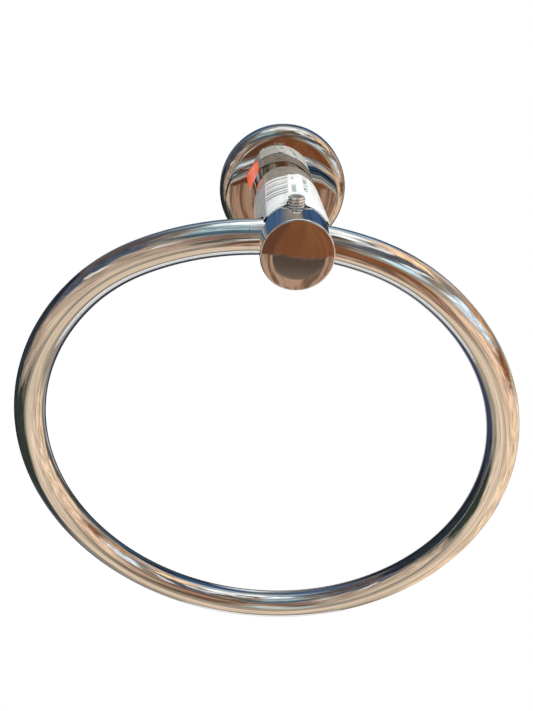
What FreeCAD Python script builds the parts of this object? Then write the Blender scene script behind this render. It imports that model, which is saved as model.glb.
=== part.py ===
import FreeCAD, Part
import math
import os

# Towel ring for a wall: a bent tube hangs in the cross bore of a round post on a domed wall cup.
# Millimetres and degrees. The origin is the middle of the cup's wall face, +Y runs into the wall, +Z is
# up, and the post points along -Y. Each function named for a piece returns that piece.

# Ring: a round tube bent to a circle with a flattened top, its two ends butted in the flat
ring_outside_diameter = 168.8
tube_diameter = 10.0
tube_wall = 1.0
shoulder_inset = 15.4  # how much tighter the two shoulder bends are than the main bend
shoulder_end = 40.0  # from the ring's top to where a shoulder runs into the main bend
flat_half_turn = 20.6  # half the turn of the shallow arc that flattens the top
joint_gap = 0.2
spigot_length = 16.0

# How the ring hangs in its bore
ring_slip = 11.8  # from the tube's joint to the post, along the tube
ring_yaw = 6.2  # right side forward
ring_roll = 2.5  # right side down

# Post
projection = 59.5
post_diameter = 19.8
post_edge = 0.5
face_flat = 6.0  # radius of the flat middle of its face
face_bend = 24.0  # shallow bend between that flat and the rounded edge
bore_from_front = 12.8

# Ring's grub screw, in the top of the post
grub_diameter = 4.7
grub_stand = 2.0
grub_chamfer = 0.35
grub_key = 2.4
grub_socket_depth = 1.8
countersink_margin = 0.95

# Cup that covers the wall plate
cup_diameter = 42.0
cup_height = 7.0
cup_wall = 1.6
cup_edge = 3.6
cup_bend = 58.0  # shallow bend between the flat of its face and the rounded edge
flat_margin = 3.5  # flat of the face round the post's foot

# Screw from inside the cup into the post
post_screw_diameter = 6.0
post_screw_grip = 10.0
post_screw_head_diameter = 11.0
post_screw_head_height = 3.0
post_screw_key = 4.0
post_screw_socket_depth = 1.8

# Wall plate inside the cup
plate_gap = 2.4
plate_headroom = 2.0
window_gap = 1.7
wall_hole_diameter = 4.5
wall_hole_sink = 1.2

# Locking screw under the cup's rim
lock_diameter = 3.0
lock_margin = 0.5
lock_recess = 0.1
lock_key = 1.5
lock_socket_depth = 1.2

# Paper label, a loose sleeve on the post
label_slack = 1.0
label_thickness = 0.2
label_rear_gap = 2.5
label_lap = 0.4  # how far its front edge reaches past the grub screw's axis

# Clearances
bore_clearance = 0.1
thread_clearance = 0.05
touch = 0.05
hole_clearance = 0.3
tube_clearance = 0.4

# Sizes that follow from those above
tube_radius = tube_diameter / 2
post_radius = post_diameter / 2
grub_radius = grub_diameter / 2
cup_radius = cup_diameter / 2
lock_radius = lock_diameter / 2
main_radius = ring_outside_diameter / 2 - tube_radius
shoulder_radius = main_radius - shoulder_inset
shoulder_side = shoulder_inset * math.sin(math.radians(shoulder_end))
shoulder_rise = shoulder_inset * math.cos(math.radians(shoulder_end))
flat_radius = shoulder_radius + shoulder_side / math.sin(math.radians(flat_half_turn))
flat_drop = shoulder_side / math.tan(math.radians(flat_half_turn)) - shoulder_rise
bore_y = bore_from_front - projection
plate_radius = cup_radius - cup_wall - plate_gap
plate_thickness = cup_height - cup_wall - plate_headroom
window_radius = post_screw_head_diameter / 2 + window_gap

ORIGIN = FreeCAD.Vector(0, 0, 0)
RIGHT = FreeCAD.Vector(1, 0, 0)
BACK = FreeCAD.Vector(0, 1, 0)
FRONT = FreeCAD.Vector(0, -1, 0)
UP = FreeCAD.Vector(0, 0, 1)
DOWN = FreeCAD.Vector(0, 0, -1)


def bore_radius():
    """Radius of the cross bore: the bent tube, turned by its yaw and roll, rests on the right lip."""
    lip = math.sqrt(post_radius**2 - tube_radius**2 / 2)
    side = lip * math.tan(math.radians(ring_yaw))
    bend_drop = flat_radius - math.sqrt(flat_radius**2 - lip**2)
    roll_drop = lip * math.tan(math.radians(ring_roll))
    section = tube_radius / math.cos(math.radians(ring_yaw))
    return section + math.hypot(side, bend_drop + roll_drop) + bore_clearance


def grub_tip():
    """Height of the grub screw's tip, just clear of the tube."""
    tip_radius = grub_radius - grub_chamfer
    return tube_radius + tip_radius * math.tan(math.radians(ring_roll)) + touch


def turned(profile):
    """Solid turned about the Y axis from the edges of a closed profile in the XY plane."""
    return Part.Face(Part.Wire(profile)).revolve(ORIGIN, BACK, 360)


def line(start, end):
    """Edge between two points of a profile, each (radius, y)."""
    return Part.makeLine(FreeCAD.Vector(*start, 0), FreeCAD.Vector(*end, 0))


def arc(start, middle, end):
    """Round edge through three points of a profile, each (radius, y)."""
    return Part.Arc(*[FreeCAD.Vector(*point, 0) for point in (start, middle, end)]).toShape()


def on_arc(centre, radius, angle):
    """Point of a profile on an arc round `centre`, `angle` from straight to the front."""
    return (centre[0] + radius * math.sin(angle), centre[1] - radius * math.cos(angle))


def face(radius, front, flat, bend, edge):
    """Face at y = `front`: where its rounded edge starts, and the profile's edges from there to the axis."""
    slope = math.asin((radius - edge - flat) / (bend - edge))
    bend_centre = (flat, front + bend)
    edge_centre = on_arc(bend_centre, bend - edge, slope)
    start = on_arc(edge_centre, edge, math.pi / 2)
    meeting = on_arc(edge_centre, edge, slope)
    rounded = arc(start, on_arc(edge_centre, edge, (math.pi / 2 + slope) / 2), meeting)
    shallow = arc(meeting, on_arc(bend_centre, bend, slope / 2), (flat, front))
    return start, [rounded, shallow, line((flat, front), (0, front))]


def hexagon_hole(across_flats, depth, place, direction):
    """Tool for a hexagon socket that starts at `place` and goes `depth` along `direction`."""
    corner = across_flats / math.sqrt(3)
    angles = [math.radians(60 * corner_number) for corner_number in range(7)]
    points = [FreeCAD.Vector(corner * math.cos(a), corner * math.sin(a), 0) for a in angles]
    tool = Part.Face(Part.makePolygon(points)).extrude(FreeCAD.Vector(0, 0, depth))
    tool.Placement = FreeCAD.Placement(place, FreeCAD.Rotation(UP, direction))
    return tool


def bent_rod(centre, bend_radius, start, end, radius):
    """Round rod bent clockwise round `centre`, from `start` to `end` degrees from straight up."""
    angle = math.radians(start)
    outward = FreeCAD.Vector(math.sin(angle), 0, math.cos(angle))
    along = FreeCAD.Vector(math.cos(angle), 0, -math.sin(angle))
    circle = Part.makeCircle(radius, centre + outward * bend_radius, along)
    return Part.Face(Part.Wire(circle)).revolve(centre, BACK, end - start)


def hang(piece):
    """Moves a piece of the ring from the ring's own plane, centred on the ring, into the bore."""
    piece.translate(UP * flat_drop)
    piece.rotate(ORIGIN, FRONT, math.degrees(ring_slip / flat_radius))
    piece.translate(DOWN * flat_radius)
    piece.rotate(ORIGIN, UP, -ring_yaw)
    piece.rotate(ORIGIN, BACK, ring_roll)
    piece.translate(BACK * bore_y)
    return piece


def ring():
    """Main bend, two shoulders and the two halves of the flattened top, one hollow tube."""
    half_gap = math.degrees(joint_gap / 2 / flat_radius)
    flat_centre = DOWN * flat_drop
    right_centre = FreeCAD.Vector(shoulder_side, 0, shoulder_rise)
    left_centre = FreeCAD.Vector(-shoulder_side, 0, shoulder_rise)
    bends = [
        (flat_centre, flat_radius, half_gap, flat_half_turn),
        (right_centre, shoulder_radius, flat_half_turn, shoulder_end),
        (ORIGIN, main_radius, shoulder_end, 360 - shoulder_end),
        (left_centre, shoulder_radius, 360 - shoulder_end, 360 - flat_half_turn),
        (flat_centre, flat_radius, 360 - flat_half_turn, 360 - half_gap),
    ]
    walls = [
        bent_rod(*bend, tube_radius).cut(bent_rod(*bend, tube_radius - tube_wall)) for bend in bends
    ]
    return hang(walls[0].multiFuse(walls[1:]).Solids[0])


def ring_spigot():
    """Curved dowel inside the tube's joint."""
    half_turn = math.degrees(spigot_length / 2 / flat_radius)
    radius = tube_radius - tube_wall - touch
    return hang(bent_rod(DOWN * flat_drop, flat_radius, -half_turn, half_turn, radius))


def post():
    """Turned bar with a rounded face, a cross bore, a grub screw hole on top and a tapped foot."""
    start, edges = face(post_radius, -projection, face_flat, face_bend, post_edge)
    bar = turned([
        line((0, -cup_height), (post_radius, -cup_height)),
        line((post_radius, -cup_height), start),
        *edges,
        line((0, -projection), (0, -cup_height)),
    ])
    middle = FreeCAD.Vector(0, bore_y, 0)
    bore = Part.makeCylinder(bore_radius(), post_diameter, middle - RIGHT * post_radius, RIGHT)
    screw_hole = Part.makeCylinder(grub_radius + thread_clearance, post_radius, middle, UP)
    sink = countersink_margin
    countersink = Part.makeCone(
        grub_radius, grub_radius + 2 * sink, 2 * sink, middle + UP * (post_radius - sink), UP)
    foot_hole = Part.makeCylinder(
        post_screw_diameter / 2 + thread_clearance, post_screw_grip + hole_clearance,
        FreeCAD.Vector(0, -cup_height, 0), FRONT)
    return bar.cut([bore, screw_hole, countersink, foot_hole])


def grub_screw(radius, chamfer, key, socket_depth, tip, length, direction):
    """Headless screw from its tip along `direction`, chamfered at both ends, socket at the far end."""
    body = Part.makeCylinder(radius, length, tip, direction)
    body = body.makeChamfer(chamfer, [edge for edge in body.Edges if len(edge.Vertexes) == 1])
    mouth = tip + direction * length
    return body.cut(hexagon_hole(key, socket_depth, mouth, direction * -1))


def ring_grub_screw():
    """Clamps the ring and stands proud of the post."""
    length = post_radius + grub_stand - grub_tip()
    tip = FreeCAD.Vector(0, bore_y, grub_tip())
    return grub_screw(grub_radius, grub_chamfer, grub_key, grub_socket_depth, tip, length, UP)


def domed_disc(inset):
    """Solid disc on the wall plane with the cup's shape, `inset` inside its skin."""
    radius = cup_radius - inset
    front = inset - cup_height
    flat = post_radius + flat_margin
    start, edges = face(radius, front, flat, cup_bend - inset, max(cup_edge - inset, touch))
    return turned([line((0, 0), (radius, 0)), line((radius, 0), start), *edges, line((0, front), (0, 0))])


def flange_cup():
    """Cover with an even wall, a hole for the post's screw and one for the locking screw."""
    screw_hole = Part.makeCylinder(
        post_screw_diameter / 2 + hole_clearance, cup_height, ORIGIN, FRONT)
    lock_hole = Part.makeCylinder(
        lock_radius + thread_clearance, cup_radius, FreeCAD.Vector(0, lock_y(), 0), DOWN)
    return domed_disc(0).cut([domed_disc(cup_wall), screw_hole, lock_hole])


def post_screw():
    """Socket screw: its head bears on the cup from inside, its shank is in the post's foot."""
    seat = FreeCAD.Vector(0, cup_wall - cup_height, 0)
    head = Part.makeCylinder(post_screw_head_diameter / 2, post_screw_head_height, seat, BACK)
    shank = Part.makeCylinder(post_screw_diameter / 2, post_screw_grip + cup_wall, seat, FRONT)
    mouth = seat + BACK * post_screw_head_height
    socket = hexagon_hole(post_screw_key, post_screw_socket_depth, mouth, FRONT)
    return head.fuse(shank).removeSplitter().cut(socket)


def wall_plate():
    """Round plate with a window for the post's screw and two countersunk holes for wall screws."""
    plate = Part.makeCylinder(plate_radius, plate_thickness, ORIGIN, FRONT)
    cuts = [Part.makeCylinder(window_radius, plate_thickness, ORIGIN, FRONT)]
    front = FRONT * plate_thickness
    hole_radius = wall_hole_diameter / 2
    for side in (-1, 1):
        middle = RIGHT * (side * (window_radius + plate_radius) / 2)
        cuts.append(Part.makeCylinder(hole_radius, plate_thickness, middle, FRONT))
        cuts.append(Part.makeCone(
            hole_radius + wall_hole_sink, hole_radius, wall_hole_sink, middle + front, BACK))
    return plate.cut(cuts)


def lock_y():
    """Where the locking screw's axis lies, clear of the wall."""
    return -(lock_radius + lock_margin)


def plate_grub_screw():
    """Holds the cup on its plate, from below."""
    tip = FreeCAD.Vector(0, lock_y(), -(plate_radius + touch))
    length = cup_radius - lock_recess - plate_radius - touch
    return grub_screw(lock_radius, lock_margin / 2, lock_key, lock_socket_depth, tip, length, DOWN)


def label():
    """Loose paper sleeve that lies on top of the post, notched round the ring's tube and its screw."""
    inner = post_radius + label_slack
    front = bore_y - label_lap
    length = -(cup_height + label_rear_gap) - front
    start = FreeCAD.Vector(0, front, touch - label_slack)
    outside = Part.makeCylinder(inner + label_thickness, length, start, BACK)
    inside = Part.makeCylinder(inner, length, start, BACK)
    reach = 2 * (inner + label_thickness)
    along = RIGHT * math.cos(math.radians(ring_yaw)) + FRONT * math.sin(math.radians(ring_yaw))
    middle = FreeCAD.Vector(0, bore_y, -tube_clearance)
    tube_notch = Part.makeCylinder(
        tube_radius + 2 * tube_clearance, 2 * reach, middle - along * reach, along)
    screw_notch = Part.makeCylinder(grub_radius + hole_clearance, reach, BACK * bore_y, UP)
    return outside.cut([inside, tube_notch, screw_notch])


def main():
    """Writes each piece to its own file."""
    os.makedirs("parts", exist_ok=True)
    pieces = (ring, ring_spigot, post, ring_grub_screw, flange_cup, post_screw, wall_plate,
              plate_grub_screw, label)
    for piece in pieces:
        shape = piece()
        print(f"{piece.__name__}: {shape.Volume:.0f} mm3, valid {shape.isValid()}")
        shape.exportStep(f"parts/{piece.__name__}.step")


main()
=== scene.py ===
import logging
import math
from collections.abc import Sequence
from dataclasses import dataclass
from enum import Enum

import bpy
from mathutils import Matrix, Quaternion, Vector


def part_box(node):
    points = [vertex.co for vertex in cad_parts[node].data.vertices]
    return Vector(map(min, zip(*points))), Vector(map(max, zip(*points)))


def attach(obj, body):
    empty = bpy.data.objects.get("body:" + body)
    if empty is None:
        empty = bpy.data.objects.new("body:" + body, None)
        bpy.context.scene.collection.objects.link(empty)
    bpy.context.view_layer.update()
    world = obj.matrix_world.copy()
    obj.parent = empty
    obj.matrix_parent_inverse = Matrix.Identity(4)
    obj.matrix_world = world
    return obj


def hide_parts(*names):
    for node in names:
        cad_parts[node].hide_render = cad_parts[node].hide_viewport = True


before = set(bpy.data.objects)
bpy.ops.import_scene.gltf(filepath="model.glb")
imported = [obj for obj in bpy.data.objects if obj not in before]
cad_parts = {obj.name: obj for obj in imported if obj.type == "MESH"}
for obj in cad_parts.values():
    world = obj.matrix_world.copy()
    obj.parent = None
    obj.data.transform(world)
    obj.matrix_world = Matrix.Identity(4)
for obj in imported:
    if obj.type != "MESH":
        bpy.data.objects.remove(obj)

LOG = logging.getLogger("towel_ring")
MM = 0.001
DEGREE = math.pi / 180
TURN = 2 * math.pi
NEAR = 0.01 * MM
PLAIN, FINE = 48, 96  # sides of round cutters
ORIGIN = Vector((0, 0, 0))
RIGHT = Vector((1, 0, 0))
BACK = Vector((0, 1, 0))
UP = Vector((0, 0, 1))
BORE = Vector((0, -46.7 * MM, 0))  # middle of the post's cross bore
RING_YAW = 6.2 * DEGREE  # how far the ring is turned in its bore
Station = tuple[float, float]
Colour = tuple[float, float, float, float]
Piece = bpy.types.Object
Socket = bpy.types.NodeSocket
Material = bpy.types.Material


class Bench:
    """Modelling steps that several pieces share."""

    @staticmethod
    def clear() -> None:
        """Deselects everything, the loaded solids included."""
        if bpy.context.mode != "OBJECT":
            bpy.ops.object.mode_set(mode="OBJECT")
        bpy.ops.object.select_all(action="DESELECT")

    @staticmethod
    def take(piece: Piece) -> None:
        """Makes one piece active and the only one selected.

        Args:
            piece: The object to work on.
        """
        Bench.clear()
        piece.select_set(True)
        bpy.context.view_layer.objects.active = piece

    @staticmethod
    def edit() -> None:
        """Opens the active mesh with all of it selected."""
        bpy.ops.object.mode_set(mode="EDIT")
        bpy.ops.mesh.select_all(action="SELECT")

    @staticmethod
    def fix(piece: Piece) -> None:
        """Bakes a piece's place and turn into its mesh.

        Args:
            piece: The piece to fix at the origin.
        """
        Bench.take(piece)
        bpy.ops.object.transform_apply(location=True, rotation=True, scale=True)

    @staticmethod
    def settle(name: str) -> Piece:
        """Names the active object and bakes its place into its mesh.

        Args:
            name: Name for the object and its mesh.

        Returns:
            The object, at the origin, unrotated and unscaled.
        """
        piece = bpy.context.object
        piece.name = name
        piece.data.name = name
        bpy.ops.object.transform_apply(location=True, rotation=True, scale=True)
        return piece

    @staticmethod
    def chain(name: str, points: Sequence[Vector]) -> Piece:
        """Draws an open chain of edges, one extrusion for each point after the first.

        Args:
            name: Name of the new object.
            points: Corners of the chain.

        Returns:
            The object that holds the chain.
        """
        Bench.clear()
        bpy.ops.mesh.primitive_plane_add(size=MM, location=points[0])
        piece = Bench.settle(name)
        bpy.ops.object.mode_set(mode="EDIT")
        bpy.ops.mesh.select_mode(type="VERT")
        bpy.ops.mesh.select_all(action="SELECT")
        bpy.ops.mesh.merge(type="CENTER")
        for before, after in zip(points, points[1:]):
            bpy.ops.mesh.extrude_vertices_move(TRANSFORM_OT_translate={"value": after - before})
        bpy.ops.object.mode_set(mode="OBJECT")
        return piece

    @staticmethod
    def tidy(piece: Piece) -> None:
        """Merges doubled vertices and turns every face outward.

        Args:
            piece: The mesh to clean.
        """
        Bench.take(piece)
        Bench.edit()
        bpy.ops.mesh.remove_doubles(threshold=0.002 * MM)
        bpy.ops.mesh.normals_make_consistent(inside=False)
        bpy.ops.object.mode_set(mode="OBJECT")

    @staticmethod
    def turned(name: str, profile: Sequence[Station], axis: Vector, steps: int) -> Piece:
        """Turns a profile once round an axis through the origin.

        Args:
            name: Name of the new piece.
            profile: Stations as (radius, place along the axis).
            axis: BACK for pieces on the post's axis, UP for screws before they are placed.
            steps: How many facets go round.

        Returns:
            The turned piece.
        """
        piece = Bench.chain(name, [RIGHT * radius + axis * along for radius, along in profile])
        Bench.edit()
        bpy.ops.mesh.spin(steps=steps, angle=TURN, center=ORIGIN, axis=axis)
        Bench.tidy(piece)
        return piece

    @staticmethod
    def bar(radius: float, start: Vector, end: Vector, sides: int) -> Piece:
        """Makes a straight bar to cut with.

        Args:
            radius: Radius of the bar, or to its corners.
            start: Middle of the first end.
            end: Middle of the far end.
            sides: Number of sides, six for a hexagon key's socket.

        Returns:
            The cutter.
        """
        Bench.clear()
        run = end - start
        bpy.ops.mesh.primitive_cone_add(
            vertices=sides, radius1=radius, radius2=radius, depth=run.length, location=(start + end) / 2,
            rotation=run.to_track_quat("Z", "Y").to_euler())
        return Bench.settle("cutter")

    @staticmethod
    def modify(piece: Piece, kind: str, **settings: object) -> None:
        """Adds a modifier to a piece and applies it.

        Args:
            piece: The mesh that changes.
            kind: Blender's name of the modifier.
            **settings: Properties of the modifier.
        """
        Bench.take(piece)
        modifier = piece.modifiers.new("step", kind)
        for key, value in settings.items():
            setattr(modifier, key, value)
        bpy.ops.object.modifier_apply(modifier=modifier.name)

    @staticmethod
    def carve(piece: Piece, cutter: Piece, operation: str = "DIFFERENCE") -> None:
        """Cuts one mesh with another and throws the cutter away.

        Args:
            piece: The mesh that stays.
            cutter: The mesh that cuts.
            operation: DIFFERENCE to take away, INTERSECT to keep what both share.
        """
        Bench.modify(piece, "BOOLEAN", object=cutter, operation=operation, solver="EXACT")
        bpy.data.objects.remove(cutter, do_unlink=True)

    @staticmethod
    def smooth(piece: Piece, sharper_than: float) -> None:
        """Shades a piece smooth but for edges sharper than so many degrees."""
        Bench.take(piece)
        bpy.ops.object.shade_smooth_by_angle(angle=sharper_than * DEGREE)

    @staticmethod
    def coat(piece: Piece, *finishes: Material) -> None:
        """Gives a piece its materials, the first for every face that is not told otherwise."""
        for finish in finishes:
            piece.data.materials.append(finish)

    @staticmethod
    def true_round(piece: Piece, radius: float) -> None:
        """Gives a drilled round side the shading of a true cylinder round the Y axis.

        Args:
            piece: The cut piece.
            radius: Radius of its side.
        """
        mesh = piece.data
        normals = [tuple(corner.vector) for corner in mesh.corner_normals]
        for face in mesh.polygons:
            spots = [mesh.vertices[index].co for index in face.vertices]
            level = abs(face.normal.y) < 0.1
            if level and all(abs(math.hypot(spot.x, spot.z) - radius) < NEAR for spot in spots):
                for index in face.loop_indices:
                    spot = mesh.vertices[mesh.loops[index].vertex_index].co
                    normals[index] = (spot.x / radius, 0.0, spot.z / radius)
        mesh.normals_split_custom_set(normals)


def round_corner(centre: Station, radius: float, start: float, end: float, count: int) -> list[Station]:
    """Stations on a round corner of a profile.

    Args:
        centre: Middle of the corner's arc.
        radius: Its radius.
        start: First angle in degrees, 0 outward and 90 along the axis.
        end: Last angle in degrees.
        count: How many equal steps lie between.

    Returns:
        The stations, both ends included.
    """
    angles = [(start + (end - start) * step / count) * DEGREE for step in range(count + 1)]
    return [(centre[0] + radius * math.cos(a), centre[1] + radius * math.sin(a)) for a in angles]


def eased(value: float) -> float:
    """Returns a smooth step from 0 at 0 to 1 at 1, level outside."""
    share = min(1.0, max(0.0, value))
    return share * share * (3 - 2 * share)


def aimed(heading: float, height: float) -> Vector:
    """Returns the unit vector at a heading from straight back to the right and a height, in radians."""
    level = math.cos(height)
    return Vector((level * math.sin(heading), level * math.cos(heading), math.sin(height)))


@dataclass(frozen=True)
class Face:
    """A turned face: flat in the middle, then a shallow bend, then a rounded edge."""

    radius: float
    front: float
    flat: float
    bend: float
    edge: float

    def stations(self) -> list[Station]:
        """Works out the face's outline.

        Returns:
            Stations from the rim of the flat to where the rounded edge meets the side.
        """
        slope = math.asin((self.radius - self.edge - self.flat) / (self.bend - self.edge))
        spread = (self.bend - self.edge) * math.cos(slope)
        middle = self.front + self.bend
        meet = slope / DEGREE - 90
        shallow = round_corner((self.flat, middle), self.bend, -90, meet, 10)
        rounded = round_corner((self.radius - self.edge, middle - spread), self.edge, meet, 0, 18)
        return shallow + rounded[1:]

    def inset(self, depth: float) -> "Face":
        """Returns the face that lies `depth` inside this one."""
        return Face(self.radius - depth, self.front + depth, self.flat, self.bend - depth, self.edge - depth)


class Recipe:
    """The node tree of a material or of the world, built one node at a time."""

    def __init__(self, owner: bpy.types.ID) -> None:
        """Empties the owner's tree.

        Args:
            owner: The new material or world.
        """
        owner.use_nodes = True
        self.owner = owner
        self.tree = owner.node_tree
        self.tree.nodes.clear()

    def surface(self, shader: bpy.types.Node) -> Material:
        """Shows a shader on the surface and returns the material."""
        self.node("OutputMaterial", {"Surface": shader.outputs[0]})
        return self.owner

    def coating(self, inputs: dict[str | int, object]) -> Material:
        """Shows a Principled shader on the surface and returns the material."""
        return self.surface(self.node("BsdfPrincipled", inputs))

    def stretched(self, place: Socket, scale: tuple[float, float, float]) -> Socket:
        """Returns places scaled, so that a noise read there is drawn out where the scale is low."""
        return self.node("Mapping", {"Vector": place, "Scale": scale}).outputs[0]

    def place(self) -> Socket:
        """Returns where on the object a point lies."""
        return self.node("TexCoord").outputs["Object"]

    def node(self, kind: str, inputs: dict[str | int, object] | None = None,
             **settings: object) -> bpy.types.Node:
        """Adds a node.

        Args:
            kind: Blender's name of the node, without its ShaderNode prefix.
            inputs: Values or sockets for the node's inputs.
            **settings: Properties of the node.

        Returns:
            The new node.
        """
        made = self.tree.nodes.new("ShaderNode" + kind)
        for key, value in settings.items():
            setattr(made, key, value)
        for key, value in (inputs or {}).items():
            if isinstance(value, Socket):
                self.tree.links.new(value, made.inputs[key])
            else:
                made.inputs[key].default_value = value
        return made

    def maths(self, operation: str, *values: object) -> Socket:
        """Adds a Math node and returns its result."""
        return self.node("Math", dict(enumerate(values)), operation=operation).outputs[0]

    def times(self, first: object, second: object) -> Socket:
        """Returns the product of two values."""
        return self.maths("MULTIPLY", first, second)

    def vector(self, operation: str, *values: object) -> Socket:
        """Adds a Vector Math node and returns its result."""
        made = self.node("VectorMath", dict(enumerate(values)), operation=operation)
        return made.outputs["Value" if operation in ("LENGTH", "DOT_PRODUCT") else "Vector"]

    def ripple(self, place: object, grain: object, cells: tuple[float, float, float],
               size: float) -> Socket:
        """Shifts places about, so that a pattern read there has wavering edges.

        Args:
            place: The places to shift.
            grain: Where the noise behind the shifts is read.
            cells: Scale, detail and roughness of that noise.
            size: Length of the shifts.

        Returns:
            The shifted places.
        """
        inputs = dict(zip(("Scale", "Detail", "Roughness"), cells))
        noise = self.node("TexNoise", {"Vector": grain, **inputs})
        shift = self.vector("SUBTRACT", noise.outputs["Color"], (0.5, 0.5, 0.5))
        return self.vector("MULTIPLY_ADD", shift, (size, size, size), place)

    def fade(self, value: object, low: float, high: float) -> Socket:
        """Returns a smooth step from 0 at `low` to 1 at `high`, or down from 1 where low is above high."""
        inputs = {"Value": value, "From Min": low, "From Max": high}
        return self.node("MapRange", inputs, interpolation_type="SMOOTHSTEP").outputs["Result"]

    def mix(self, factor: object, first: object, second: object) -> Socket:
        """Returns a colour mixed from `first` towards `second`."""
        inputs = {"Factor": factor, 6: first, 7: second}  # 6 and 7 are the node's colour inputs
        return self.node("Mix", inputs, data_type="RGBA").outputs[2]

    def noise(self, where: object, scale: float, detail: float = 2.0,
              roughness: float = 0.5) -> Socket:
        """Returns a noise value between 0 and 1, with `scale` cells a metre."""
        inputs = {"Vector": where, "Scale": scale, "Detail": detail, "Roughness": roughness}
        return self.node("TexNoise", inputs).outputs["Fac"]

    def bump(self, height: object, depth: float, strength: float, under: object = None) -> Socket:
        """Returns a normal, or the one from `under`, bent by a height that stands for `depth` metres."""
        inputs = {"Height": height, "Distance": depth, "Strength": strength}
        return self.node("Bump", inputs | ({"Normal": under} if under else {})).outputs["Normal"]


def srgb(red: int, green: int, blue: int) -> Colour:
    """Returns a shader colour from three screen values of 0 to 255."""
    def linear(level: int) -> float:
        """Returns one screen value as a linear one."""
        part = level / 255
        return part / 12.92 if part <= 0.04045 else ((part + 0.055) / 1.055) ** 2.4
    return (linear(red), linear(green), linear(blue), 1.0)


class Wear(Enum):
    """How much a polished surface has been handled."""

    FRESH = 0.15
    HANDLED = 1.0


@dataclass(frozen=True)
class Plating:
    """Bright plating with hairlines, pinprick specks and a faint haze."""

    name: str
    tint: Colour
    roughness: float
    wear: Wear

    def material(self) -> Material:
        """Builds the plating.

        Returns:
            The material.
        """
        recipe = Recipe(bpy.data.materials.new(self.name))
        place = recipe.place()
        amount = self.wear.value
        haze = recipe.fade(recipe.noise(place, 55, 3), 0.45, 0.75)
        specks = recipe.fade(recipe.noise(place, 1700, 1), 0.77, 0.80)
        patches = recipe.fade(recipe.noise(place, 90, 2), 0.50, 0.62)
        specks = recipe.times(specks, patches)
        rubbed = recipe.fade(recipe.noise(place, 40, 2), 0.52, 0.66)
        hairlines = recipe.times(self.hairlines(recipe, place), rubbed)
        rough = self.roughness
        for mask, share in ((haze, 0.05), (specks, 0.5), (hairlines, 0.22)):
            rough = recipe.maths("MULTIPLY_ADD", mask, share * amount, rough)
        marks = recipe.maths("MAXIMUM", specks, hairlines)
        waved = recipe.bump(recipe.noise(place, 120, 2), 0.02 * MM, 0.25 * amount)
        normal = recipe.bump(marks, 0.004 * MM, 0.5 * amount, waved)
        return recipe.coating({
            "Base Color": self.tint, "Metallic": 1.0, "Roughness": rough, "Normal": normal})

    @staticmethod
    def hairlines(recipe: Recipe, place: Socket) -> Socket:
        """Fine scratches in three directions.

        Args:
            recipe: The tree to add to.
            place: Where on the object a point lies.

        Returns:
            A mask of 1 on a scratch.
        """
        mask = 0.0
        for turn in (0.4, 1.5, 2.5):
            turned = recipe.node("Mapping", {
                "Vector": place, "Rotation": (turn, 0.7 * turn, turn), "Scale": (1.0, 22.0, 22.0)})
            ridge = recipe.noise(turned.outputs[0], 130, 1)
            line = recipe.maths("ABSOLUTE", recipe.maths("SUBTRACT", ridge, 0.63))
            mask = recipe.maths("MAXIMUM", mask, recipe.fade(line, 0.006, 0.001))
        return mask


@dataclass(frozen=True)
class Steel:
    """Plain machined steel, darker in its hollows by painted shade and with random grimy blotches."""

    name: str
    colour: Colour
    shade_and_grime: Colour
    roughness: float

    def material(self) -> Material:
        """Builds the steel.

        Returns:
            The material.
        """
        recipe = Recipe(bpy.data.materials.new(self.name))
        place = recipe.place()
        blotch = recipe.noise(place, 700, 3, 0.6)
        # Painted shade: ambient occlusion darkens the thread grooves and other hollows towards the shade
        # colour; the random blotches are grimy marks.
        hollow = recipe.node("AmbientOcclusion", {"Distance": 0.45 * MM}, samples=8).outputs["AO"]
        shade_and_dirt = recipe.maths("MAXIMUM", recipe.fade(hollow, 0.8, 0.35), recipe.fade(blotch, 0.64, 0.85))
        colour = recipe.mix(shade_and_dirt, self.colour, self.shade_and_grime)
        rough = recipe.maths("MULTIPLY_ADD", blotch, 0.16, self.roughness)
        normal = recipe.bump(recipe.noise(place, 2600, 2), 0.01 * MM, 0.5)
        return recipe.coating({
            "Base Color": colour, "Metallic": 0.85, "Roughness": rough, "Normal": normal})


@dataclass(frozen=True)
class Field:
    """A patch painted on the label, in turns round the sleeve (u) and along it (v): print, and on the left
    facet painted shade.
    """

    left: float
    right: float
    front: float
    rear: float
    ink: Colour
    broken: float = 0.0


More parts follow.
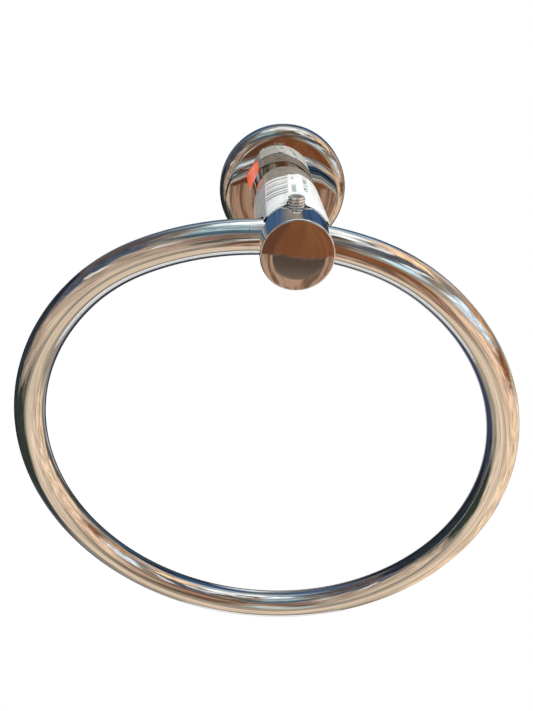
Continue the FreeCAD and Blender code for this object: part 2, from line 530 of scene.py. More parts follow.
@dataclass(frozen=True)
class Paper:
    """Glossy label paper with stripes, plain fields and soft creases."""

    name: str
    white: Colour
    ink: Colour
    stripes: tuple[float, float, float, float]
    fields: tuple[Field, ...]

    def material(self) -> Material:
        """Builds the printed paper.

        Returns:
            The material.
        """
        recipe = Recipe(bpy.data.materials.new(self.name))
        flat = recipe.node("UVMap", uv_map="UVMap").outputs[0]
        place = recipe.place()
        split = recipe.node("SeparateXYZ", {"Vector": flat})
        across, along = split.outputs["X"], split.outputs["Y"]
        worn = recipe.noise(place, 900, 2)
        dull = recipe.fade(recipe.noise(place, 160, 2), 0.5, 0.9)
        colour = recipe.mix(dull, self.white, srgb(214, 224, 222))
        bars = recipe.noise(recipe.node("CombineXYZ", {"Y": along}).outputs[0], 19.0, 2, 0.8)
        bars = recipe.times(recipe.fade(bars, 0.50, 0.53), self.patch(recipe, across, along, *self.stripes))
        colour = recipe.mix(recipe.times(bars, 0.85), colour, self.ink)
        for field in self.fields:
            mask = self.patch(recipe, across, along, field.left, field.right, field.front, field.rear)
            if field.broken:
                specks = recipe.noise(flat, 46, 1)
                mask = recipe.times(mask, recipe.fade(specks, field.broken, field.broken + 0.03))
            mask = recipe.times(mask, recipe.fade(worn, 0.25, 0.4))
            colour = recipe.mix(mask, colour, field.ink)
        normal = recipe.bump(recipe.noise(place, 240, 3, 0.6), 0.12 * MM, 0.35)
        return recipe.coating({
            "Base Color": colour, "Roughness": 0.32, "Normal": normal, "Coat Weight": 0.4,
            "Coat Roughness": 0.12})

    @staticmethod
    def patch(recipe: Recipe, across: object, along: object, left: float, right: float,
              front: float, rear: float) -> Socket:
        """Mask of a rectangle on the unrolled label.

        Args:
            recipe: The tree to add to.
            across: Turns round the sleeve.
            along: Place along the sleeve.
            left: First turn.
            right: Last turn.
            front: First place along.
            rear: Last place along.

        Returns:
            A mask of 1 inside the rectangle.
        """
        soft = 0.004
        sides = recipe.times(recipe.fade(across, left, left + soft), recipe.fade(across, right, right - soft))
        soft *= 4
        ends = recipe.times(recipe.fade(along, front, front + soft), recipe.fade(along, rear, rear - soft))
        return recipe.times(sides, ends)


@dataclass(frozen=True)
class Film:
    """Clear glossy film that sticks out behind the paper, doubled and dull on its left side."""

    name: str
    colour: Colour
    cover: float
    single: float = -4.5 * MM
    doubled: float = -7.0 * MM

    def material(self) -> Material:
        """Builds the film.

        Returns:
            The material.
        """
        recipe = Recipe(bpy.data.materials.new(self.name))
        place = recipe.place()
        cloud = recipe.noise(recipe.stretched(place, (0.35, 1.0, 0.35)), 600, 3, 0.6)
        cover = recipe.maths("MULTIPLY_ADD", recipe.fade(cloud, 0.35, 0.7), 0.35, self.cover)
        side = recipe.node("SeparateXYZ", {"Vector": place}).outputs["X"]
        doubled = recipe.fade(side, self.single, self.doubled)
        cover = recipe.maths("MAXIMUM", cover, doubled)
        gloss = recipe.maths("MULTIPLY_ADD", doubled, -0.5, 0.5)
        normal = recipe.bump(cloud, 0.25 * MM, 0.6)
        return recipe.coating({
            "Base Color": self.colour, "Roughness": 0.12, "IOR": 2.1, "Specular IOR Level": gloss,
            "Alpha": cover, "Normal": normal})


CHROME_RING = Plating("ring_chrome", srgb(232, 234, 236), 0.035, Wear.HANDLED)
CHROME_POST = Plating("post_chrome", srgb(228, 231, 235), 0.03, Wear.FRESH)
CHROME_CUP = Plating("cup_chrome", srgb(212, 210, 206), 0.025, Wear.FRESH)
# The third colour of each steel is the painted shade in its hollows, and also the colour of its random grimy
# blotches.
SCREW_STEEL = Steel("screw_steel", srgb(238, 238, 236), srgb(62, 54, 48), 0.10)
SPOT_STEEL = Steel("spot_face", srgb(226, 228, 226), srgb(170, 168, 160), 0.45)
PLATE_STEEL = Steel("zinc_plate", srgb(190, 190, 188), srgb(120, 116, 108), 0.35)
GREY_INK = srgb(98, 112, 108)
PALE_INK = srgb(168, 186, 182)
LABEL_PAPER = Paper(
    "label_paper", srgb(248, 251, 250), GREY_INK, (0.905, 1.004, 0.26, 0.93),
    (
        # Painted shade: a grey field over the creased left facet, which faces away from the key lamp.
        Field(0.797, 0.903, -1.0, 2.0, srgb(186, 189, 189)),
        Field(0.012, 0.038, 0.34, 0.61, PALE_INK),
        Field(0.014, 0.029, 0.79, 0.89, PALE_INK),
        Field(0.066, 0.092, 0.44, 1.04, GREY_INK, 0.50),
        Field(0.108, 0.118, 0.30, 0.95, PALE_INK, 0.52),
        Field(0.606, 0.742, 0.12, 0.97, srgb(240, 96, 56)),
    ))
TAIL_PAPER = Paper("label_tail", srgb(250, 102, 62), GREY_INK, (2.0, 2.0, 2.0, 2.0), ())
CLEAR_FILM = Film("label_film", srgb(166, 160, 152), 0.62)


@dataclass
class RingTube:
    """The bent tube: a circle with a flattened top whose ends meet left of the post."""

    outside: float = 168.8 * MM
    tube: float = 5.0 * MM
    wall: float = 1.0 * MM
    shoulder_inset: float = 15.4 * MM
    shoulder_end: float = 40.0 * DEGREE
    flat_half_turn: float = 20.6 * DEGREE
    joint_gap: float = 0.02 * MM
    end_round: float = 0.03 * MM
    end_depth: float = 3.0 * MM
    slip: float = 11.8 * MM
    roll: float = 2.5 * DEGREE
    sides: int = 64
    step: float = 2.0 * MM

    def bends(self) -> list[tuple[Vector, float, float, float]]:
        """Works out the five bends.

        Returns:
            Centre, radius, start and end of each bend, in radians clockwise from straight up.
        """
        main = self.outside / 2 - self.tube
        shoulder = main - self.shoulder_inset
        side = self.shoulder_inset * math.sin(self.shoulder_end)
        rise = self.shoulder_inset * math.cos(self.shoulder_end)
        flat = shoulder + side / math.sin(self.flat_half_turn)
        drop = side / math.tan(self.flat_half_turn) - rise
        gap = (self.joint_gap / 2 + self.end_round) / flat
        return [
            (UP * -drop, flat, gap, self.flat_half_turn),
            (Vector((side, 0, rise)), shoulder, self.flat_half_turn, self.shoulder_end),
            (ORIGIN, main, self.shoulder_end, TURN - self.shoulder_end),
            (Vector((-side, 0, rise)), shoulder, TURN - self.shoulder_end, TURN - self.flat_half_turn),
            (UP * -drop, flat, TURN - self.flat_half_turn, TURN - gap),
        ]

    @staticmethod
    def widen(centre: Vector, shift: Vector, growth: float) -> None:
        """Extrudes the selected loop, moves it along and scales it.

        Args:
            centre: Middle of the loop before the move.
            shift: The move.
            growth: The scale.
        """
        bpy.ops.mesh.extrude_region_move(TRANSFORM_OT_translate={"value": shift})
        bpy.ops.transform.resize(value=(growth, growth, growth), center_override=centre + shift)

    def build(self) -> Piece:
        """Bends the tube round its five bends, open at the joint.

        Returns:
            The ring in its place in the bore.
        """
        bends = self.bends()
        centre, radius, start, _ = bends[0]
        outward = Vector((math.sin(start), 0, math.cos(start)))
        along = Vector((math.cos(start), 0, -math.sin(start)))
        middle = centre + outward * radius
        inner = self.tube - self.wall
        Bench.clear()
        bpy.ops.mesh.primitive_circle_add(
            vertices=self.sides, radius=inner, location=middle + along * self.end_depth,
            rotation=(0, math.pi / 2 + start, 0))
        ring = Bench.settle("ring_tube")
        Bench.edit()
        mouth = middle - along * self.end_round
        lip = (self.tube - self.end_round) / inner
        self.widen(middle + along * self.end_depth, mouth - middle - along * self.end_depth, 1.0)
        self.widen(mouth, ORIGIN, lip)
        self.widen(mouth, along * self.end_round, self.tube / (self.tube - self.end_round))
        for centre, radius, start, end in bends:
            steps = max(6, round(radius * (end - start) / self.step))
            bpy.ops.mesh.spin(steps=steps, angle=end - start, center=centre, axis=-BACK)
        centre, radius, _, end = bends[-1]
        middle = centre + Vector((math.sin(end), 0, math.cos(end))) * radius
        along = Vector((math.cos(end), 0, -math.sin(end)))
        self.widen(middle, along * self.end_round, (self.tube - self.end_round) / self.tube)
        self.widen(middle + along * self.end_round, ORIGIN, 1 / lip)
        self.widen(middle + along * self.end_round, along * -(self.end_depth + self.end_round), 1.0)
        Bench.tidy(ring)
        ring.matrix_world = self.hang()
        Bench.fix(ring)
        Bench.smooth(ring, 40)
        return ring

    def hang(self) -> Matrix:
        """Works out how the ring hangs.

        Returns:
            The move from the ring's own plane to its place in the bore.
        """
        centre, flat, _, _ = self.bends()[0]
        slide = Matrix.Rotation(-self.slip / flat, 4, "Y")
        yaw = Matrix.Rotation(-RING_YAW, 4, "Z")
        roll = Matrix.Rotation(self.roll, 4, "Y")
        return (Matrix.Translation(BORE) @ roll @ yaw @ Matrix.Translation(UP * -flat) @ slide
                @ Matrix.Translation(-centre))

    def dress(self) -> Piece:
        """Builds the ring, plates it and sets it in place of its solid.

        Returns:
            The finished ring.
        """
        ring = self.build()
        Bench.coat(ring, CHROME_RING.material())
        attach(ring, "root")
        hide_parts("ring")
        return ring


@dataclass
class PostBar:
    """The turned post with its bore, its grub screw hole and the flat spot face round it."""

    radius: float = 9.9 * MM
    front: float = -59.5 * MM
    foot: float = -7.0 * MM
    edge: float = 0.5 * MM
    flat: float = 6.0 * MM
    bend: float = 24.0 * MM
    bore_radius: float = 6.458 * MM
    hole_radius: float = 2.4 * MM
    sink: float = 0.95 * MM
    spot_radius: float = 4.35 * MM
    cut: float = 15.0 * MM
    steps: int = 192

    def profile(self) -> list[Station]:
        """Returns the post's outline from the middle of its foot to the middle of its face."""
        face = Face(self.radius, self.front, self.flat, self.bend, self.edge).stations()
        foot = [(0.0, self.foot), (self.radius * 0.5, self.foot), (self.radius, self.foot)]
        return foot + face[::-1] + [(self.flat * 0.5, self.front), (0.0, self.front)]

    def dress(self) -> Piece:
        """Turns, drills and plates the post.

        Returns:
            The finished post.
        """
        post = Bench.turned("post_bar", self.profile(), BACK, self.steps)
        above = BORE + UP * self.cut
        side = RIGHT * self.cut
        low = self.radius - self.sink
        Bench.carve(post, Bench.bar(self.bore_radius, BORE - side, BORE + side, FINE))
        Bench.carve(post, Bench.bar(self.hole_radius, BORE, above, PLAIN))
        Bench.carve(post, Bench.bar(self.spot_radius, BORE + UP * low, above, FINE))
        Bench.smooth(post, 30)
        Bench.true_round(post, self.radius)
        Bench.coat(post, CHROME_POST.material(), SPOT_STEEL.material())
        for face in post.data.polygons:
            if face.normal.z > 0.99 and abs(face.center.z - low) < NEAR:
                face.material_index = 1
        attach(post, "root")
        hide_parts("post")
        return post


@dataclass
class WallCup:
    """The shallow domed cover, hollow behind, with its locking screw's hole underneath."""

    radius: float = 21.0 * MM
    height: float = 7.0 * MM
    wall: float = 1.6 * MM
    edge: float = 3.6 * MM
    flat: float = 13.4 * MM
    bend: float = 58.0 * MM
    hole: float = 3.3 * MM
    lock_y: float = -2.0 * MM
    lock_radius: float = 1.55 * MM
    rear_round: float = 0.25 * MM
    cut: float = 30.0 * MM
    steps: int = 256

    def profile(self) -> list[Station]:
        """Returns the closed outline of the cup's wall."""
        face = Face(self.radius, -self.height, self.flat, self.bend, self.edge)
        outer = face.stations()
        inner = face.inset(self.wall).stations()
        rear = round_corner((self.radius - self.rear_round, -self.rear_round), self.rear_round, 0, 90, 4)
        mouth = (self.radius - self.wall, 0.0)
        start = (self.hole, -self.height)
        end = (self.hole, self.wall - self.height)
        return [start, *outer, *rear, mouth, *inner[::-1], end, start]

    def dress(self) -> Piece:
        """Spins, drills and plates the cup.

        Returns:
            The finished cup.
        """
        cup = Bench.turned("wall_cup", self.profile(), BACK, self.steps)
        drill = BACK * self.lock_y
        Bench.carve(cup, Bench.bar(self.lock_radius, drill, drill - UP * self.cut, PLAIN))
        Bench.smooth(cup, 30)
        Bench.true_round(cup, self.radius)
        Bench.coat(cup, CHROME_CUP.material())
        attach(cup, "root")
        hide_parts("flange_cup")
        return cup


@dataclass
class GrubScrew:
    """The threaded headless screw that stands proud of the post."""

    major: float = 2.35 * MM
    minor: float = 1.93 * MM
    pitch: float = 0.8 * MM
    chamfer: float = 0.42 * MM
    top: float = 11.9 * MM
    key: float = 2.4 * MM
    socket_depth: float = 1.8 * MM
    spare: float = 0.1 * MM
    crest: float = 0.05 * MM
    top_round: float = 0.08 * MM
    tooth: tuple[tuple[bool, float], ...] = (
        (False, 0.0), (False, 0.14), (True, 0.46), (True, 0.62), (False, 0.94))
    sides: int = 72

    def thread(self, low: float) -> Piece:
        """Winds the thread by screwing a toothed edge through one turn.

        Args:
            low: Height of the screw's tip.

        Returns:
            The threaded rod, longer than the screw at both ends.
        """
        teeth = math.ceil((self.top - low) / self.pitch) + 4
        start = low - 2 * self.pitch
        points = []
        for tooth in range(teeth):
            foot = start + tooth * self.pitch
            for proud, share in self.tooth:
                points.append(Vector((self.major if proud else self.minor, 0, foot + share * self.pitch)))
        rod = Bench.chain("grub_screw", points)
        Bench.modify(
            rod, "SCREW", axis="Z", screw_offset=self.pitch, steps=self.sides, render_steps=self.sides,
            use_merge_vertices=True, merge_threshold=0.005 * MM)
        Bench.tidy(rod)
        bpy.ops.object.mode_set(mode="EDIT")
        for height, side in ((low - self.spare, -1), (self.top + self.spare, 1)):
            bpy.ops.mesh.select_all(action="SELECT")
            bpy.ops.mesh.bisect(plane_co=UP * height, plane_no=UP * side, use_fill=True, clear_outer=True)
        Bench.tidy(rod)
        return rod

    def dress(self) -> Piece:
        """Threads, chamfers and sockets the screw.

        Returns:
            The finished screw.
        """
        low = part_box("ring_grub_screw")[0][2]
        screw = self.thread(low)
        tip = self.major - self.chamfer
        outside = self.major + self.crest
        blank = Bench.turned("blank", [
            (0.0, low), (tip, low), (outside, low + self.chamfer), (outside, self.top - self.chamfer),
            (tip + self.top_round, self.top), (0.0, self.top)], UP, self.sides)
        Bench.carve(screw, blank, "INTERSECT")
        corner = self.key / math.sqrt(3)
        Bench.carve(screw, Bench.bar(corner, UP * (self.top - self.socket_depth), UP * (self.top + MM), 6))
        screw.location = BORE
        Bench.fix(screw)
        Bench.smooth(screw, 28)
        Bench.coat(screw, SCREW_STEEL.material())
        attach(screw, "root")
        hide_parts("ring_grub_screw")
        return screw


@dataclass
class PaperSleeve:
    """The loose label: a strip wrapped once round the post, creased on the left, with a clear rear band."""

    radius: float = 11.0 * MM
    sag: float = 0.95 * MM
    post: float = 9.95 * MM
    thickness: float = 0.16 * MM
    front: float = -47.1 * MM
    rear: float = -19.0 * MM
    paper_rear: tuple[Station, ...] = (
        (-180, -20.5), (-60, -21.6), (-8, -21.2), (14, -17.3), (60, -17.5), (180, -20.5))
    film_rear: tuple[Station, ...] = (
        (-180, -14.0), (-75, -17.0), (-55, -15.0), (-45, -11.8), (-30, -10.6), (-4, -9.9), (10, -9.4),
        (32, -8.2), (90, -8.4), (180, -14.0))
    seam: float = -6.8 * DEGREE
    overlap: float = 6.0 * DEGREE
    crease: float = -41.5 * DEGREE
    skew: float = 3.6 * DEGREE
    tube: float = 5.75 * MM
    screw: float = 2.62 * MM
    notch: float = 25.0 * MM
    bore_sag: float = 0.4 * MM
    wave: float = 0.1 * MM
    under: float = -1.8  # radians: where the flat facet ends underneath
    under_blend: float = 1.1
    pull_ramp: float = 25.0 * DEGREE  # the front edge is pulled down over this turn, from before the crease
    pull_early: float = 1.2
    pull_end: float = 2.9  # radians: where the pull ends underneath
    pull_fade: float = 0.4
    pull_depth: float = 0.22  # share of the strip that the pull reaches back
    lap_start: float = 0.965  # share of the way round where the strip climbs onto its own start
    lap_ramp: float = 0.02
    lap_lift: float = 1.6  # thicknesses
    film_lap: float = 0.6  # millimetres of film under the paper
    film_lift: float = -0.19 * MM
    tail_bulge: float = 0.45
    tail_root: float = 2.6 * MM
    tail_rows: tuple[tuple[float, ...], ...] = (
        (-11.2, -0.6, -11.0, -0.6, -20.9), (-11.3, 0.9, -11.1, 0.9, -13.0), (-11.2, 2.3, -10.7, 2.5, -8.6),
        (-11.7, 3.4, -9.9, 4.1, -7.6), (-12.1, 4.8, -9.1, 5.7, -7.4), (-12.2, 5.9, -8.7, 7.1, -7.35),
        (-11.9, 7.0, -8.5, 8.6, -7.35), (-10.7, 8.9, -8.8, 9.7, -7.4), (-9.6, 10.5, -9.1, 10.7, -7.5))

    def reach(self, turn: float) -> float:
        """Shape of the sleeve seen along the post.

        Args:
            turn: Angle from the top, clockwise, round the sleeve's own middle.

        Returns:
            Distance from that middle to the paper.
        """
        turn = (turn + math.pi) % TURN - math.pi
        snug = self.snug(turn)
        if turn > self.crease:
            return max(snug, self.radius + self.wave * math.sin(3 * turn) * math.sin(turn / 2)**2)
        corner = Vector((math.sin(self.crease), math.cos(self.crease))) * self.radius
        corner.y -= self.sag
        normal = math.atan2(corner.x, corner.y) - math.acos(self.post / corner.length)
        flat = (self.post + self.sag * math.cos(normal)) / max(0.2, math.cos(turn - normal))
        if turn > normal:
            return flat
        return snug + (self.radius - snug) * eased((self.under - turn) / self.under_blend)

    def snug(self, turn: float) -> float:
        """Returns how far the post's surface lies from the sleeve's middle."""
        return self.sag * math.cos(turn) + math.sqrt(self.post**2 - (self.sag * math.sin(turn))**2)

    def pulled(self, turn: float, share: float) -> float:
        """How closely the front edge is pulled onto the post.

        Args:
            turn: Angle from the top.
            share: Place along the strip, 0 at its front edge.

        Returns:
            1 where the paper lies on the post, 0 where it hangs free.
        """
        turn = (turn + math.pi) % TURN - math.pi
        left = max(0.0, (turn - self.crease) / self.pull_ramp + self.pull_early)
        right = max(0.0, (self.pull_end - turn) / self.pull_fade)
        side = min(1.0, left, right)
        return side * eased(1 - share / self.pull_depth)

    @staticmethod
    def along_edge(stations: Sequence[Station], turn: float) -> float:
        """Place of a slanting edge of the sleeve.

        Args:
            stations: Points of the edge as (degrees from the top, millimetres along the post).
            turn: Angle from the top.

        Returns:
            Where the edge lies along the post.
        """
        degrees = (turn / DEGREE + 180) % 360 - 180
        for (low, first), (high, second) in zip(stations, stations[1:]):
            if degrees <= high:
                return (first + (second - first) * eased((degrees - low) / (high - low))) * MM
        return stations[-1][1] * MM

    def strip(self, name: str, edges: tuple[Sequence[Station], Sequence[Station]], extent: float,
              lift: float, cells: tuple[int, int]) -> Piece:
        """Wraps a flat grid round the post.

        Args:
            name: Name of the new piece.
            edges: The strip's front and rear edges.
            extent: How far round the post it goes.
            lift: How far it lies outside the sleeve's own shape.
            cells: Divisions round and along.

        Returns:
            The wrapped strip, one face thick, with the unrolled label as its UV map.
        """
        Bench.clear()
        bpy.ops.mesh.primitive_grid_add(
            x_subdivisions=cells[0], y_subdivisions=cells[1], size=1.0, calc_uvs=True)
        strip = Bench.settle(name)
        middle = (self.front + self.rear) / 2
        layer = strip.data.uv_layers.active
        placed = {}
        for vertex in strip.data.vertices:
            around = vertex.co.x + 0.5
            turn = self.seam + extent * around
            front, rear = (self.along_edge(edge, turn) for edge in edges)
            along = front + (rear - front) * (vertex.co.y + 0.5)
            turn += math.tan(self.skew) * (along - middle) / self.radius
            lap = min(1.0, max(0.0, (around - self.lap_start) / self.lap_ramp)) if extent > TURN else 0.0
            raised = lap * self.lap_lift * self.thickness
            far = self.reach(turn) + lift + raised
            far += (self.snug(turn) + raised - far) * self.pulled(turn, vertex.co.y + 0.5)
            vertex.co = (far * math.sin(turn), along, far * math.cos(turn) - self.sag)
            placed[vertex.index] = (around * extent / TURN, (along - self.front) / (self.rear - self.front))
        for loop in strip.data.loops:
            layer.data[loop.index].uv = placed[loop.vertex_index]
        return strip

    def finish(self, strip: Piece) -> None:
        """Thickens a strip outward and notches it where the ring's tube and its screw pass.

        Args:
            strip: The wrapped strip.
        """
        Bench.modify(strip, "SOLIDIFY", thickness=self.thickness, offset=1.0)
        middle = BORE - UP * self.bore_sag
        along = Vector((math.cos(RING_YAW), -math.sin(RING_YAW), 0)) * self.notch
        Bench.carve(strip, Bench.bar(self.tube, middle - along, middle + along, PLAIN))
        Bench.carve(strip, Bench.bar(self.screw, middle, middle + UP * self.notch, PLAIN))
        Bench.smooth(strip, 25)

    def tail(self, film: Material) -> Piece:
        """Shapes the label's orange tail, which a clear root holds to the sleeve's left side by the cup.

        Args:
            film: Finish of the root.

        Returns:
            The bulged tail.
        """
        Bench.clear()
        bpy.ops.mesh.primitive_grid_add(x_subdivisions=2, y_subdivisions=len(self.tail_rows) - 1, size=1.0)
        tail = Bench.settle("label_tail")
        for vertex in tail.data.vertices:
            row = self.tail_rows[round((vertex.co.y + 0.5) * (len(self.tail_rows) - 1))]
            share = vertex.co.x + 0.5
            left, right, along = Vector(row[:2]), Vector(row[2:4]), row[4]
            spot = left + (right - left) * share
            bulge = self.tail_bulge * (right - left).length * share * (1 - share)
            vertex.co = (spot.x * MM, (along - bulge) * MM, spot.y * MM)
        Bench.modify(tail, "SUBSURF", levels=3, render_levels=3)
        Bench.modify(tail, "SOLIDIFY", thickness=self.thickness, offset=0.0)
        Bench.smooth(tail, 40)
        Bench.coat(tail, TAIL_PAPER.material(), film)
        for face in tail.data.polygons:
            face.material_index = int(face.center.z < self.tail_root)
        return tail

    def dress(self) -> list[Piece]:
        """Wraps, prints and places the label, its clear band and its tail.

        Returns:
            The label, the band and the tail.
        """
        front = ((-180, self.front / MM), (180, self.front / MM))
        paper = self.strip("label_paper", (front, self.paper_rear), TURN + self.overlap, 0.0, (244, 24))
        self.finish(paper)
        Bench.coat(paper, LABEL_PAPER.material())
        lap = tuple((turn, along - self.film_lap) for turn, along in self.paper_rear)
        band = self.strip("label_band", (lap, self.film_rear), TURN, self.film_lift, (180, 8))
        self.finish(band)
        film = CLEAR_FILM.material()
        Bench.coat(band, film)
        tail = self.tail(film)
        for piece in (paper, band, tail):
            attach(piece, "root")
        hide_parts("label")
        return [paper, band, tail]


@dataclass
class HiddenFixings:
    """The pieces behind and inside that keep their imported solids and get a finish."""

    def dress(self) -> list[str]:
        """Finishes the solids that no new piece replaces.

        Returns:
            The nodes that were finished.
        """
        finishes = dict.fromkeys(("ring_spigot", "post_screw", "plate_grub_screw"), SCREW_STEEL.material())
        finishes["wall_plate"] = PLATE_STEEL.material()
        for name, material in finishes.items():
            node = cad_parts[name]
            for slot in node.material_slots:
                slot.material = material
        return list(finishes)


@dataclass(frozen=True)
class Card:
    """One soft oval patch of the surround that the plating mirrors, in degrees."""

    heading: float
    height: float
    wide: float
    tall: float
    colour: Colour
    soft: float = 0.6

    def lay(self, recipe: Recipe, way: Socket, under: object) -> Socket:
        """Lays the patch over the colours so far.

        Args:
            recipe: The surround's tree.
            way: Unit vector from the middle of the surround.
            under: Colour under the patch.

        Returns:
            The colour with the patch on it.
        """
        aim = aimed(self.heading * DEGREE, self.height * DEGREE)
        size = (math.sin(self.wide * DEGREE), math.sin(self.tall * DEGREE), 1.0)
        local = recipe.node("Mapping", {
            "Vector": way, "Location": aim, "Rotation": aim.to_track_quat("Z", "Y").to_euler(), "Scale": size,
        }, vector_type="TEXTURE")
        far = recipe.vector("LENGTH", local.outputs[0])
        return recipe.mix(recipe.fade(far, 1.0, 1.0 - self.soft), under, self.colour)


@dataclass
class Studio:
    """Floor, lamps, camera and the surround that only polished metal sees."""

    floor_z: float = -0.42
    reach: float = 0.38
    surround_z: float = -0.05
    card_size: float = 160 * MM
    card_centre: tuple[float, float, float] = (12.5 * MM, -160.0 * MM, -42.0 * MM)
    camera_from_bore: tuple[float, float, float] = (-18.6 * MM, -162.0 * MM, 62.3 * MM)
    heading: float = 4.57 * DEGREE
    pitch: float = -31.72 * DEGREE
    roll: float = 3.3 * DEGREE
    focal_px: float = 620.0
    image_height_px: float = 711.0
    sensor_mm: float = 36.0
    room: float = 0.65
    warp: float = 0.16
    dimmest: float = 0.55
    swing: float = 1.3

    def camera(self) -> None:
        """Sets the camera at the photograph's viewpoint."""
        turn = aimed(self.heading, self.pitch).to_track_quat("-Z", "Y") @ Quaternion(UP, self.roll)
        bpy.ops.object.camera_add(location=Vector(self.camera_from_bore) + BORE, rotation=turn.to_euler())
        camera = bpy.context.object
        camera.name = "camera"
        camera.data.sensor_width = self.sensor_mm
        camera.data.lens = self.focal_px * self.sensor_mm / self.image_height_px
        camera.data.clip_start = 0.01
        bpy.context.scene.camera = camera

    def floor(self) -> None:
        """Lays the plain pale floor."""
        Bench.clear()
        bpy.ops.mesh.primitive_plane_add(size=8.0, location=(0, 0, self.floor_z))
        floor = Bench.settle("floor")
        recipe = Recipe(bpy.data.materials.new("pale_floor"))
        tone = recipe.mix(recipe.noise(recipe.place(), 3, 2), srgb(250, 250, 250), srgb(246, 246, 246))
        matt = recipe.node("BsdfPrincipled", {"Base Color": tone, "Roughness": 0.9})
        bright = recipe.node("Emission", {"Color": (1, 1, 1, 1), "Strength": 1.0})
        share = self.seen_straight(recipe)
        mixed = recipe.node("MixShader", {0: share, 1: matt.outputs[0], 2: bright.outputs[0]})
        Bench.coat(floor, recipe.surface(mixed))

    @staticmethod
    def seen_straight(recipe: Recipe) -> Socket:
        """Finds the rays for which the background is plain white.

        Args:
            recipe: The tree to add to.

        Returns:
            1 for rays from the camera, and for those that metal and glass send on.
        """
        path = recipe.node("LightPath").outputs
        mirrored = recipe.maths("MAXIMUM", path["Is Glossy Ray"], path["Is Transmission Ray"])
        return recipe.maths("MAXIMUM", path["Is Camera Ray"], mirrored)

    def world(self) -> None:
        """Fills the room with even white light and a white background."""
        recipe = Recipe(bpy.data.worlds.new("room"))
        bpy.context.scene.world = recipe.owner
        strength = recipe.maths("MULTIPLY_ADD", self.seen_straight(recipe), 1 - self.room, self.room)
        light = recipe.node("Background", {"Color": (1, 1, 1, 1), "Strength": strength})
        recipe.node("OutputWorld", {"Surface": light.outputs[0]})

    def lamps(self) -> None:
        """Hangs two soft lamps, which the plating doesn't mirror."""
        for name, place, size, power in (
                ("key_lamp", Vector((0.38, -0.22, 0.42)), 0.35, 3.4),
                ("fill_lamp", Vector((-0.40, -0.40, 0.20)), 0.45, 0.8)):
            aim = (BORE - place).to_track_quat("-Z", "Y").to_euler()
            bpy.ops.object.light_add(type="AREA", location=place, rotation=aim)
            lamp = bpy.context.object
            lamp.name = name
            lamp.data.size = size
            lamp.data.energy = power
            lamp.visible_glossy = False

    @staticmethod
    def mirrored_only(piece: Piece) -> None:
        """Hides a piece of the set from all but the plating.

        Args:
            piece: The card or surround.
        """
        piece.visible_camera = False
        piece.visible_diffuse = False
        piece.visible_shadow = False
        piece.visible_transmission = False

    def surround(self) -> None:
        """Closes the set with coloured cards for the plating to mirror."""
        Bench.clear()
        bpy.ops.mesh.primitive_ico_sphere_add(
            subdivisions=5, radius=self.reach, location=BORE + UP * self.surround_z)
        bpy.ops.object.shade_smooth()
        surround = bpy.context.object
        surround.name = "surround"
        recipe = Recipe(bpy.data.materials.new("surround_cards"))
        place = recipe.place()
        flat = recipe.stretched(place, (1.0, 1.0, 3.0))
        way = recipe.vector("NORMALIZE", recipe.ripple(place, flat, (8.0, 6.0, 0.62), self.warp))
        colour = srgb(148, 136, 120)
        for card in self.cards():
            colour = card.lay(recipe, way, colour)
        layers = recipe.fade(recipe.noise(flat, 13, 6, 0.72), 0.28, 0.72)
        # The part above the wall that the top of the post mirrors is even, as in the photograph.
        ahead = recipe.vector("DOT_PRODUCT", place, (0, 0.93 / self.reach, 0.36 / self.reach))
        layers = recipe.mix(recipe.fade(ahead, 0.80, 0.93), layers, (0.5, 0.5, 0.5, 1))
        glow = recipe.node("Emission", {
            "Color": colour, "Strength": recipe.maths("MULTIPLY_ADD", layers, self.swing, self.dimmest)})
        Bench.coat(surround, recipe.surface(glow))
        self.mirrored_only(surround)

    def face_card(self) -> None:
        """Stands a round card before the post for its face to mirror: warm above, a dark block below."""
        centre = Vector(self.card_centre)
        aim = (BACK * PostBar.front - centre).to_track_quat("Z", "Y").to_euler()
        Bench.clear()
        bpy.ops.mesh.primitive_plane_add(size=self.card_size, location=centre, rotation=aim)
        card = bpy.context.object
        card.name = "face_card"
        recipe = Recipe(bpy.data.materials.new("face_card"))
        place = recipe.place()
        moved = recipe.ripple(place, place, (60.0, 4.0, 0.6), 6 * MM)
        split = recipe.node("SeparateXYZ", {"Vector": moved}).outputs
        left, up = split["X"], split["Y"]
        below = recipe.fade(up, 0.8 * MM, -0.8 * MM)
        streak = recipe.noise(recipe.stretched(place, (1, 0.2, 1)), 90, 3)
        colour = recipe.mix(recipe.fade(streak, 0.35, 0.7), srgb(118, 70, 42), srgb(134, 86, 56))
        colour = recipe.mix(recipe.fade(left, 6 * MM, 20 * MM), colour, srgb(98, 62, 44))
        lower = recipe.mix(recipe.fade(streak, 0.4, 0.6), srgb(112, 84, 66), srgb(176, 140, 116))
        colour = recipe.mix(below, colour, lower)
        block = recipe.times(recipe.fade(left, 18 * MM, 15 * MM), recipe.fade(left, -25 * MM, -21 * MM))
        block = recipe.times(block, recipe.times(below, recipe.fade(up, -16 * MM, -12 * MM)))
        tone = recipe.mix(recipe.fade(up, -2 * MM, -13 * MM), srgb(82, 68, 58), srgb(112, 96, 80))
        colour = recipe.mix(block, colour, tone)
        glow = recipe.node("Emission", {"Color": colour, "Strength": 1.25})
        disc = recipe.fade(recipe.vector("LENGTH", place), 72 * MM, 54 * MM)
        clear = recipe.node("BsdfTransparent")
        mixed = recipe.node("MixShader", {0: disc, 1: clear.outputs[0], 2: glow.outputs[0]})
        Bench.coat(card, recipe.surface(mixed))
        self.mirrored_only(card)

    @staticmethod
    def cards() -> list[Card]:
        """Returns the patches, later ones on top, headed in degrees from straight back to the right."""
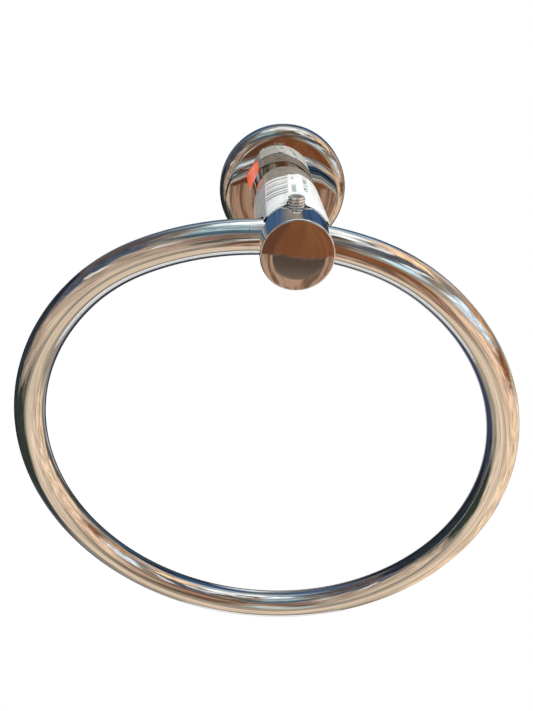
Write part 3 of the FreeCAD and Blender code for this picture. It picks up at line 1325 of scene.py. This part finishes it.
        # Heading, height, width, tallness, the three screen values and, where it isn't 0.6, the softness.
        rows = (
            (100, -38, 68, 40, 230, 198, 166, 0.4), (130, -8, 56, 22, 226, 190, 160, 0.5),
            (182, -48, 46, 24, 216, 192, 166), (33, -34, 34, 30, 98, 88, 74, 0.4),
            (8, -46, 20, 16, 246, 248, 248), (235, 8, 46, 42, 170, 148, 128, 0.4),
            (222, -12, 28, 16, 206, 182, 158), (262, -36, 42, 20, 50, 56, 48, 0.4),
            (298, 24, 42, 40, 88, 80, 78, 0.4), (265, 30, 16, 34, 70, 80, 100),
            (300, 8, 26, 10, 30, 36, 66), (335, -34, 42, 42, 32, 36, 44, 0.35),
            (325, -62, 60, 16, 52, 60, 80), (300, -14, 46, 30, 42, 48, 54, 0.4),
            (338, 45, 24, 22, 60, 82, 104), (282, 72, 70, 15, 156, 176, 180, 0.5),
            (22, 0, 24, 52, 28, 34, 50, 0.4), (24, -18, 18, 14, 62, 84, 100),
            (36, 42, 22, 24, 134, 158, 176), (24, 54, 16, 8, 150, 135, 125),
            (346, 12, 22, 20, 62, 88, 118, 0.5), (14, 12, 18, 20, 60, 86, 116, 0.5),
            (0, 42, 36, 9, 166, 182, 190, 0.5), (4, 68, 26, 24, 252, 253, 253, 0.4),
            (5, -14, 3.5, 22, 225, 228, 230), (84, 66, 42, 12, 252, 249, 242, 0.4),
            (84, 46, 36, 15, 255, 210, 168, 0.4), (58, 20, 18, 16, 190, 170, 165),
            (80, 13, 28, 10, 198, 146, 102), (94, -2, 30, 6, 130, 86, 56),
            (112, 16, 30, 13, 222, 232, 238), (132, 46, 36, 18, 86, 88, 92, 0.5),
            (128, 38, 14, 4, 242, 242, 240), (150, 26, 13, 10, 208, 230, 242),
            (135, 73, 46, 12, 98, 88, 74), (176, 15, 10, 56, 110, 78, 58, 0.5),
            (192, 0, 6, 22, 204, 208, 196), (212, 56, 32, 15, 74, 95, 106),
            (205, 32, 14, 16, 124, 98, 86), (228, 37, 7, 6, 245, 240, 234),
            (252, 22, 18, 4, 222, 212, 194), (200, 12, 7, 12, 84, 74, 66),
            (99, 70, 13, 6, 252, 252, 252), (342, 53, 9, 7, 90, 112, 128),
        )
        return [Card(*row[:4], srgb(*row[4:7]), *row[7:]) for row in rows]

    def build(self) -> None:
        """Sets the whole stage."""
        bpy.context.scene.view_settings.view_transform = "Standard"
        self.camera()
        self.world()
        self.floor()
        self.lamps()
        self.surround()
        self.face_card()


def main() -> None:
    """Builds every sub-assembly and reports each piece."""
    logging.basicConfig(level=logging.INFO, format="%(name)s: %(message)s")
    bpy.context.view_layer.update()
    Studio().build()
    for part in (RingTube(), PostBar(), WallCup(), GrubScrew()):
        piece = part.dress()
        LOG.info("%s has %d faces", piece.name, len(piece.data.polygons))
    for piece in PaperSleeve().dress():
        LOG.info("%s has %d faces", piece.name, len(piece.data.polygons))
    for name in HiddenFixings().dress():
        LOG.info("%s keeps its solid", name)
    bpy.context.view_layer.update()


if __name__ == "__main__":
    main()
